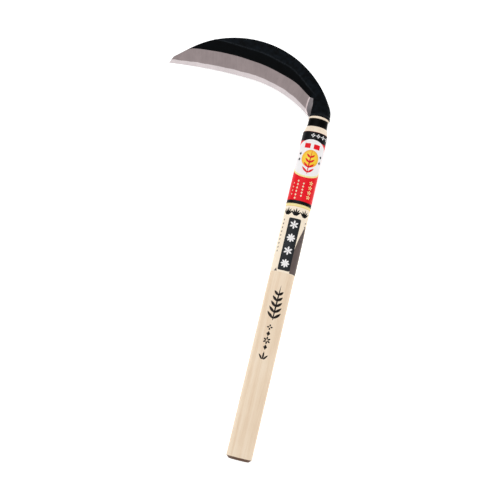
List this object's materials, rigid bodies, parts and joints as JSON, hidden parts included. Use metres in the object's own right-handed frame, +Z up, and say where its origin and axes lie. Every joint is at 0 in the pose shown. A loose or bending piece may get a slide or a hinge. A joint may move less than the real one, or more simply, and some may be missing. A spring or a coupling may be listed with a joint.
{
  "type": "hand sickle",
  "caption": "One-hand grass sickle: forged crescent blade with a tang, set at right angles in a straight oval wooden handle with a steel ferrule and two printed paper sleeves.",
  "frame": {"origin": "centre of the handle's butt face, on the handle's axis", "axes": "+Y along the handle towards its head, -X from the handle out to the blade's tip, +Z up from the surface that the sickle lies on"},
  "size_m": [0.2041, 0.4764, 0.0224],
  "materials": {
    "forged_iron": "black forge scale, ground grey along the bevel",
    "edge_steel": "ground and honed",
    "black_ring": "black lacquer, satin",
    "pale_wood": "bare, sanded",
    "pin_steel": "drawn wire",
    "red_label": "printed, semi-gloss",
    "cream_label": "printed clear film on the wood, semi-gloss"
  },
  "bodies": {
    "root": {"blade_body": "forged_iron", "edge_steel": "edge_steel", "ferrule_ring": "black_ring", "handle": "pale_wood", "mekugi_pin": "pin_steel", "upper_label": "red_label", "lower_label": "cream_label"}
  },
  "joints": []
}
